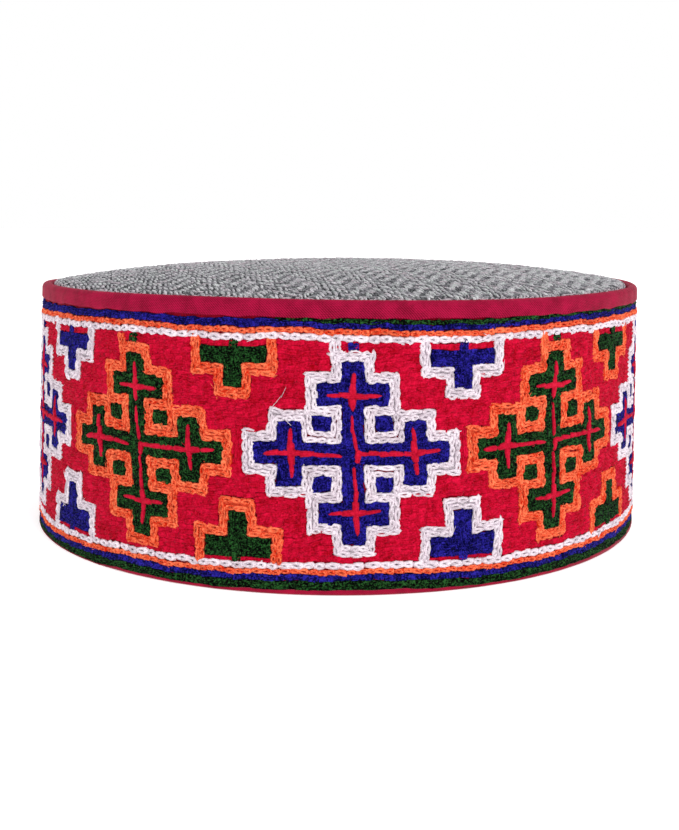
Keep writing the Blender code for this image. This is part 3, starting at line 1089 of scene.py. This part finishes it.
def crown_lint(scattered, at_rim):
    """Pale fibres fallen on the tweed, and a fringe of them where it meets the binding."""
    radius = TWEED_REACH * np.sqrt(random.uniform(0.0, 1.0, scattered))
    radius = np.concatenate((radius, TWEED_REACH - random.uniform(0.0, 0.5, at_rim)))
    count = scattered + at_rim
    angle = random.uniform(0.0, math.tau, count)
    middles = np.column_stack((radius * np.cos(angle), radius * np.sin(angle)))
    lean = angle + math.pi / 2 + random.normal(0.0, 0.4, count)
    lean[:scattered] = random.uniform(0.0, math.pi, scattered)
    long = random.uniform(1.0, 3.0, count)
    wide = HAIR * random.uniform(0.8, 1.6, count)
    rise = np.full(count, HAIR_RISE)
    return laid_on_crown("crown_lint", wool_float(3, 3), middles, lean, long, wide, LINT_SUNK, rise)


def tweed_threads(name, floats, across_crown):
    """One short length of yarn for each float, laid over the crown."""
    across, along = floats[:, 0] * WARP_PITCH + TWEED_START, floats[:, 1] * WEFT_PITCH
    across = across + 0.6 * np.sin(along / 31.0 + 0.6) + 0.2 * np.sin(along / 9.0 + across / 17.0)
    across = across + random.normal(0.0, THREAD_SPREAD, len(across))
    along = along + 0.4 * np.sin(across / 13.0) + random.normal(0.0, PICK_SPREAD, len(along))
    x = across * math.cos(TWEED_TURN) - along * math.sin(TWEED_TURN)
    y = across * math.sin(TWEED_TURN) + along * math.cos(TWEED_TURN)
    kept = np.hypot(x, y) < TWEED_REACH
    middles, span = np.column_stack((x, y))[kept], floats[kept, 2]
    count = len(span)
    lean = TWEED_TURN + (0.0 if across_crown else math.pi / 2) + random.normal(0.0, FLOAT_TURN, count)
    pitch = WARP_PITCH if across_crown else WEFT_PITCH
    long = pitch * (span + FLOAT_TUCK) * random.uniform(*FLOAT_LONG, count)
    wide = (WEFT_WIDTH if across_crown else WARP_WIDTH) * random.uniform(*FLOAT_WIDE, count)
    rise = (WEFT_RISE if across_crown else WARP_RISE) * random.uniform(*FLOAT_RISE, count)
    return laid_on_crown(name, wool_float(5, 4), middles, lean, long, wide, TWEED_SUNK, rise)


# Materials

COLOUR, NUMBER = "NodeSocketColor", "NodeSocketFloat"
BLACK, WHITE = (0.0, 0.0, 0.0, 1.0), (1.0, 1.0, 1.0, 1.0)


def new_group(name, numbers):
    """An empty node group from a dark to a light colour, with these numbers, its inlet and outlet."""
    group = bpy.data.node_groups.new(name, "ShaderNodeTree")
    inputs = [("Dark", COLOUR, BLACK), ("Light", COLOUR, WHITE)]
    inputs += [(label, NUMBER, value) for label, value in numbers.items()]
    for label, kind, value in inputs:
        group.interface.new_socket(label, in_out="INPUT", socket_type=kind).default_value = value
    for label, kind in (("Colour", COLOUR), ("Height", NUMBER)):
        group.interface.new_socket(label, in_out="OUTPUT", socket_type=kind)
    return group, group.nodes.new("NodeGroupInput"), group.nodes.new("NodeGroupOutput")


def math_node(tree, operation, first, second=None, clamp=False):
    """A Math node with links or numbers on its inputs, giving its output."""
    node = tree.nodes.new("ShaderNodeMath")
    node.operation = operation
    node.use_clamp = clamp
    for socket, value in zip(node.inputs, (first, second)):
        if isinstance(value, (int, float)):
            socket.default_value = value
        elif value is not None:
            tree.links.new(value, socket)
    return node.outputs[0]


def scaled(tree, value, factor):
    """A value times a factor."""
    return math_node(tree, "MULTIPLY", value, factor)


def centred(tree, value):
    """A value between 0 and 1, moved to lie round 0."""
    return math_node(tree, "SUBTRACT", value, 0.5)


def added(tree, total, *others):
    """The sum of some values."""
    for other in others:
        total = math_node(tree, "ADD", total, other)
    return total


def mix_node(tree, share, first, second, blend="MIX"):
    """A colour Mix node, giving its output."""
    node = tree.nodes.new("ShaderNodeMix")
    node.data_type = "RGBA"
    node.blend_type = blend
    for socket, value in ((node.inputs[0], share), (node.inputs[6], first), (node.inputs[7], second)):
        if isinstance(value, (int, float, tuple)):
            socket.default_value = value
        else:
            tree.links.new(value, socket)
    return node.outputs[2]


def noise_node(tree, scale, detail, stretch=(1.0, 1.0, 1.0)):
    """Noise over the piece, its scale in lumps for each millimetre."""
    place = tree.nodes.new("ShaderNodeTexCoord")
    mapping = tree.nodes.new("ShaderNodeMapping")
    mapping.inputs["Scale"].default_value = tuple(s / METRE for s in stretch)
    node = tree.nodes.new("ShaderNodeTexNoise")
    node.inputs["Scale"].default_value = scale
    node.inputs["Detail"].default_value = detail
    tree.links.new(place.outputs["Object"], mapping.inputs["Vector"])
    tree.links.new(mapping.outputs["Vector"], node.inputs["Vector"])
    return node.outputs["Fac"]


def uv_node(tree, name):
    """The two directions of a UV map."""
    node = tree.nodes.new("ShaderNodeUVMap")
    node.uv_map = name
    split = tree.nodes.new("ShaderNodeSeparateXYZ")
    tree.links.new(node.outputs["UV"], split.inputs["Vector"])
    return split.outputs["X"], split.outputs["Y"]


def yarn_group():
    """Spun wool: each stitch has its own tone, with ply twist and fine fibres."""
    numbers = {"Fibre": 0.5, "Stitch": 0.25, "Tint": 0.0, "Middle": 0.5}
    group, inlet, outlet = new_group("spun_wool", numbers)
    along, around = uv_node(group, "yarn")
    ply = math_node(group, "SINE", added(group, scaled(group, along, 7.5), scaled(group, around, 6.3)))
    tone = group.nodes.new("ShaderNodeAttribute")
    tone.attribute_name = "tone"
    strand = group.nodes.new("ShaderNodeCombineXYZ")
    group.links.new(scaled(group, along, 0.9), strand.inputs["X"])
    group.links.new(scaled(group, around, 9.0), strand.inputs["Y"])
    group.links.new(scaled(group, tone.outputs["Fac"], 7.0), strand.inputs["Z"])
    fibres = group.nodes.new("ShaderNodeTexNoise")
    fibres.inputs["Scale"].default_value = 1.0
    fibres.inputs["Detail"].default_value = 2.0
    group.links.new(strand.outputs["Vector"], fibres.inputs["Vector"])
    streak = centred(group, fibres.outputs["Fac"])
    fine = centred(group, noise_node(group, 2.6, 3.0))
    patch = centred(group, noise_node(group, 0.35, 2.0))
    fibre = added(group, scaled(group, fine, 2.0), scaled(group, streak, 2.4))
    fibre = scaled(group, fibre, inlet.outputs["Fibre"])
    own_tone = scaled(group, tone.outputs["Fac"], inlet.outputs["Stitch"])
    share = added(group, fibre, own_tone, scaled(group, patch, 0.7), scaled(group, ply, 0.10))
    share = math_node(group, "ADD", share, inlet.outputs["Middle"], clamp=True)
    mixed = mix_node(group, share, inlet.outputs["Dark"], inlet.outputs["Light"])
    drift = math_node(group, "SUBTRACT", noise_node(group, 0.5, 1.0), 0.3)
    drift = math_node(group, "MULTIPLY", drift, 3.0, clamp=True)
    cast = mix_node(group, drift, (0.84, 1.0, 0.88, 1.0), (1.0, 0.86, 0.96, 1.0))
    mixed = mix_node(group, inlet.outputs["Tint"], mixed, mix_node(group, 1.0, mixed, cast, "MULTIPLY"))
    height = added(group, scaled(group, ply, 0.5), scaled(group, fine, 1.2))
    group.links.new(mixed, outlet.inputs["Colour"])
    group.links.new(height, outlet.inputs["Height"])
    return group


def weave_group():
    """Woven cloth: fine diagonal lines or a plain weave, with slubs and rubbed patches."""
    group, inlet, outlet = new_group("woven_cloth", {"Pitch": 0.5, "Slope": 1.0, "Contrast": 0.25})
    across, up = uv_node(group, "cloth")
    twist = math_node(group, "DIVIDE", math.tau, inlet.outputs["Pitch"])
    line = added(group, across, scaled(group, up, inlet.outputs["Slope"]))
    twill = math_node(group, "SINE", scaled(group, line, twist))
    thread = math_node(group, "SINE", scaled(group, up, scaled(group, twist, 1.7)))
    woven = added(group, scaled(group, twill, 0.7), scaled(group, thread, 0.3))
    patch = centred(group, noise_node(group, 0.22, 3.0))
    fine = centred(group, noise_node(group, 2.6, 2.0))
    share = scaled(group, woven, inlet.outputs["Contrast"])
    share = added(group, share, scaled(group, patch, 1.3), scaled(group, fine, 0.7))
    share = math_node(group, "ADD", share, 0.5, clamp=True)
    mixed = mix_node(group, share, inlet.outputs["Dark"], inlet.outputs["Light"])
    group.links.new(mixed, outlet.inputs["Colour"])
    group.links.new(added(group, woven, fine), outlet.inputs["Height"])
    return group


def herringbone_group():
    """Herringbone drawn on flat tweed, for the cloth between and behind the floats."""
    group, inlet, outlet = new_group("herringbone", {"Contrast": 0.5})
    across, up = uv_node(group, "cloth")
    fold = math_node(group, "PINGPONG", across, COLUMN_WARPS * WARP_PITCH)
    ridge = math_node(group, "SINE", scaled(group, added(group, up, fold), math.tau / (4 * WEFT_PITCH)))
    thread = math_node(group, "SINE", scaled(group, across, math.tau / WARP_PITCH))
    fine = centred(group, noise_node(group, 3.0, 3.0))
    patch = centred(group, noise_node(group, 0.4, 2.0))
    share = scaled(group, ridge, inlet.outputs["Contrast"])
    share = added(group, share, scaled(group, thread, 0.3), scaled(group, fine, 1.8))
    share = added(group, share, scaled(group, patch, 0.5))
    share = math_node(group, "ADD", share, 0.45, clamp=True)
    mixed = mix_node(group, share, inlet.outputs["Dark"], inlet.outputs["Light"])
    height = added(group, ridge, scaled(group, fine, 1.5), scaled(group, thread, 0.4))
    group.links.new(mixed, outlet.inputs["Colour"])
    group.links.new(height, outlet.inputs["Height"])
    return group


def linear(red, green, blue):
    """A shader colour from the 0 to 255 values seen on the cap."""
    def one(value):
        value /= 255.0
        return value / 12.92 if value <= 0.04045 else ((value + 0.055) / 1.055) ** 2.4
    return (one(red), one(green), one(blue), 1.0)


def cloth_finish(name, group, values, roughness, sheen, bump):
    """A material with one of the shared groups on its Principled shader."""
    material = bpy.data.materials.new(name)
    material.use_nodes = True
    tree = material.node_tree
    shader = tree.nodes["Principled BSDF"]
    pattern = tree.nodes.new("ShaderNodeGroup")
    pattern.node_tree = group
    for label, value in values.items():
        pattern.inputs[label].default_value = value
    relief = tree.nodes.new("ShaderNodeBump")
    relief.inputs["Strength"].default_value = 0.6
    relief.inputs["Distance"].default_value = bump * METRE
    tree.links.new(pattern.outputs["Height"], relief.inputs["Height"])
    tree.links.new(relief.outputs["Normal"], shader.inputs["Normal"])
    tree.links.new(pattern.outputs["Colour"], shader.inputs["Base Color"])
    shader.inputs["Roughness"].default_value = roughness
    shader.inputs["Sheen Weight"].default_value = sheen
    shader.inputs["Sheen Roughness"].default_value = 0.45
    shader.inputs["Specular IOR Level"].default_value = 0.05
    return material


def wool_finish(name, dark, light, fibre, middle=0.5, stitch=0.25, tint=0.0):
    """Matt wool yarn."""
    values = {
        "Dark": linear(*dark), "Light": linear(*light), "Fibre": fibre, "Stitch": stitch, "Tint": tint,
        "Middle": middle,
    }
    return cloth_finish(name, spun_wool, values, roughness=0.95, sheen=0.03, bump=0.12)


def weave(dark, light, contrast, **others):
    """What a cloth's pattern is given."""
    return {"Dark": linear(*dark), "Light": linear(*light), "Contrast": contrast, **others}


def dress(obj, material, slot, *nodes):
    """Finishes a piece: its material, its body and the solids that it stands for. The slot it is given is not
    used.
    """
    obj.data.materials.clear()
    obj.data.materials.append(material)
    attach(obj, "root")
    if nodes:
        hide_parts(*nodes)
    return obj


# Studio

CAMERA_FOCAL = 1152.27 * 36.0 / 830.0
CAMERA_PLACE = (1.036, -371.68, 94.41)
CAMERA_PITCH = math.radians(9.912)
CAMERA_ROLL = math.radians(0.355)


def make_camera():
    """The photograph's view: a little above the cap, with the picture turned a third of a degree."""
    camera = bpy.data.cameras.new("camera")
    camera.lens = CAMERA_FOCAL
    camera.sensor_width = 36.0
    camera.clip_start = 0.01
    obj = bpy.data.objects.new("camera", camera)
    bpy.context.scene.collection.objects.link(obj)
    obj.location = tuple(value * METRE for value in CAMERA_PLACE)
    obj.rotation_mode = "XYZ"
    obj.rotation_euler = (math.pi / 2 - CAMERA_PITCH, 0.0, 0.0)
    obj.rotation_euler.rotate_axis("Z", CAMERA_ROLL)
    bpy.context.scene.camera = obj


def make_light(name, place, size, power):
    """A soft square light aimed at the cap."""
    light = bpy.data.lights.new(name, "AREA")
    light.shape = "SQUARE"
    light.size = size
    light.energy = power
    obj = bpy.data.objects.new(name, light)
    bpy.context.scene.collection.objects.link(obj)
    obj.location = place
    aim = np.array((0.0, 0.0, 0.04)) - np.array(place)
    obj.rotation_euler = (math.atan2(math.hypot(aim[0], aim[1]), -aim[2]), 0.0, math.atan2(-aim[0], aim[1]))
    return obj


def make_studio():
    """A pale floor under soft even light."""
    deselect_all()
    bpy.ops.mesh.primitive_plane_add(size=12.0, location=(0.0, 0.0, 0.0))
    floor = bpy.context.object
    floor.name = "floor"
    paper = bpy.data.materials.new("white_paper")
    paper.use_nodes = True
    shader = paper.node_tree.nodes["Principled BSDF"]
    shader.inputs["Base Color"].default_value = (0.93, 0.93, 0.93, 1.0)
    shader.inputs["Roughness"].default_value = 0.9
    shader.inputs["Emission Color"].default_value = (1.0, 1.0, 1.0, 1.0)
    shader.inputs["Emission Strength"].default_value = 0.35
    floor.data.materials.append(paper)
    world = bpy.data.worlds.new("studio")
    world.use_nodes = True
    world.node_tree.nodes["Background"].inputs["Color"].default_value = (1.0, 1.0, 1.0, 1.0)
    world.node_tree.nodes["Background"].inputs["Strength"].default_value = 1.0
    bpy.context.scene.world = world
    make_light("key", (0.7, -0.8, 1.0), 0.7, 7.0)
    make_light("fill", (-0.7, -0.9, 0.8), 0.8, 1.0)
    bpy.context.scene.view_settings.view_transform = "Standard"


# Making the cap

make_camera()
make_studio()

for cross in CROSSES:
    sew_cross(cross)
for pair in TEE_PAIRS:
    for middle, tee in zip((pair.across_top, pair.across_bottom), TEES):
        sew_tee(pair.wool, pair.edge, middle, tee)
sew_borders()
sew_ground()
sew_loose_end()

spun_wool = yarn_group()
woven_cloth = weave_group()
herringbone = herringbone_group()

open_stitch = chain_loop(turns=8, sides=4, hole=0.16)
drawn_stitch = chain_loop(turns=7, sides=4, hole=0.12)
tight_stitch = closed_stitch(groove=0.4)
Wool = namedtuple("Wool", "stitch hairs dark light fibre middle")
WOOLS = {
    "red": Wool(tight_stitch, 900, (148, 0, 14), (218, 16, 60), 0.66, 0.5),
    "red_line": Wool(tapered_float(), 80, (150, 4, 30), (210, 24, 58), 0.5, 0.5),
    "blue": Wool(tight_stitch, 700, (0, 0, 50), (46, 39, 162), 1.3, 0.34),
    "green": Wool(tight_stitch, 1900, (0, 0, 0), (44, 96, 44), 1.6, 0.19),
    "orange": Wool(drawn_stitch, 1200, (200, 34, 6), (254, 130, 88), 1.0, 0.48),
    # the orange padding is a darker copy of the orange wool: painted shade where it shows in the loops' slits
    "orange_padding": Wool(tight_stitch, 0, (190, 48, 26), (228, 88, 54), 0.6, 0.5),
    "white": Wool(open_stitch, 900, (184, 170, 180), (244, 232, 240), 0.75, 0.58),
    # the white padding is a greyer copy of the white wool: painted shade where it shows in the loops' slits
    "white_padding": Wool(tight_stitch, 0, (164, 154, 162), (212, 202, 208), 0.6, 0.5),
}
for name, wool in WOOLS.items():
    piece = stitched_wool(name, wool.stitch, wool.hairs)
    yarn = wool_finish(name + "_wool", wool.dark, wool.light, wool.fibre, wool.middle)
    dress(piece, yarn, "embroidered_wool")

band = make_band_cloth()
crimson = weave((136, 2, 26), (190, 14, 48), 0.2, Pitch=0.6, Slope=0.0)
ground = cloth_finish("crimson_ground", woven_cloth, crimson, roughness=0.9, sheen=0.1, bump=0.1)
dress(band, ground, "embroidered_wool", "band")

wall = make_side_wall()
tweed = weave((84, 84, 88), (182, 182, 184), 0.42)
wall_tweed = cloth_finish("wall_tweed", herringbone, tweed, roughness=0.95, sheen=0.1, bump=0.25)
dress(wall, wall_tweed, "grey_tweed", "side_wall")

crown = make_crown_cloth()
# the crown's ground: partly the tweed's dark yarn, partly painted shade where it shows between the floats
dark_tweed_and_shade = weave((48, 48, 52), (96, 96, 98), 0.3)
crown_tweed = cloth_finish("crown_ground_and_shade", herringbone, dark_tweed_and_shade, roughness=0.95, sheen=0.0, bump=0.2)
dress(crown, crown_tweed, "grey_tweed", "crown")

warp_floats, weft_floats = herringbone_floats()
warp = tweed_threads("crown_warp_threads", warp_floats, False)
light_yarn = wool_finish("light_tweed_yarn", (134, 134, 138), (214, 214, 216), fibre=1.0, tint=0.35)
dress(warp, light_yarn, "grey_tweed")
weft = tweed_threads("crown_weft_threads", weft_floats, True)
dark_yarn = wool_finish("dark_tweed_yarn", (50, 50, 54), (150, 150, 154), fibre=1.0, stitch=0.3, tint=0.35)
dress(weft, dark_yarn, "grey_tweed")
pale_lint = wool_finish("pale_lint", (176, 164, 172), (236, 222, 230), fibre=0.5, stitch=0.3)
dress(crown_lint(scattered=900, at_rim=900), pale_lint, "grey_tweed")

top_binding = make_top_binding()
# the satin's light and dark diagonal twill lines are painted highlight and shade along the weave
maroon = weave((96, 0, 26), (172, 14, 62), 0.55, Pitch=0.7, Slope=1.0)
satin = cloth_finish("maroon_satin", woven_cloth, maroon, roughness=0.6, sheen=0.0, bump=0.05)
dress(top_binding, satin, "maroon_satin", "top_binding")

lower_binding = make_lower_binding()
folded = weave((108, 0, 30), (170, 14, 54), 0.3, Pitch=0.6, Slope=1.0)
hem = cloth_finish("crimson_hem", woven_cloth, folded, roughness=0.8, sheen=0.2, bump=0.06)
dress(lower_binding, hem, "crimson_cloth", "lower_binding")
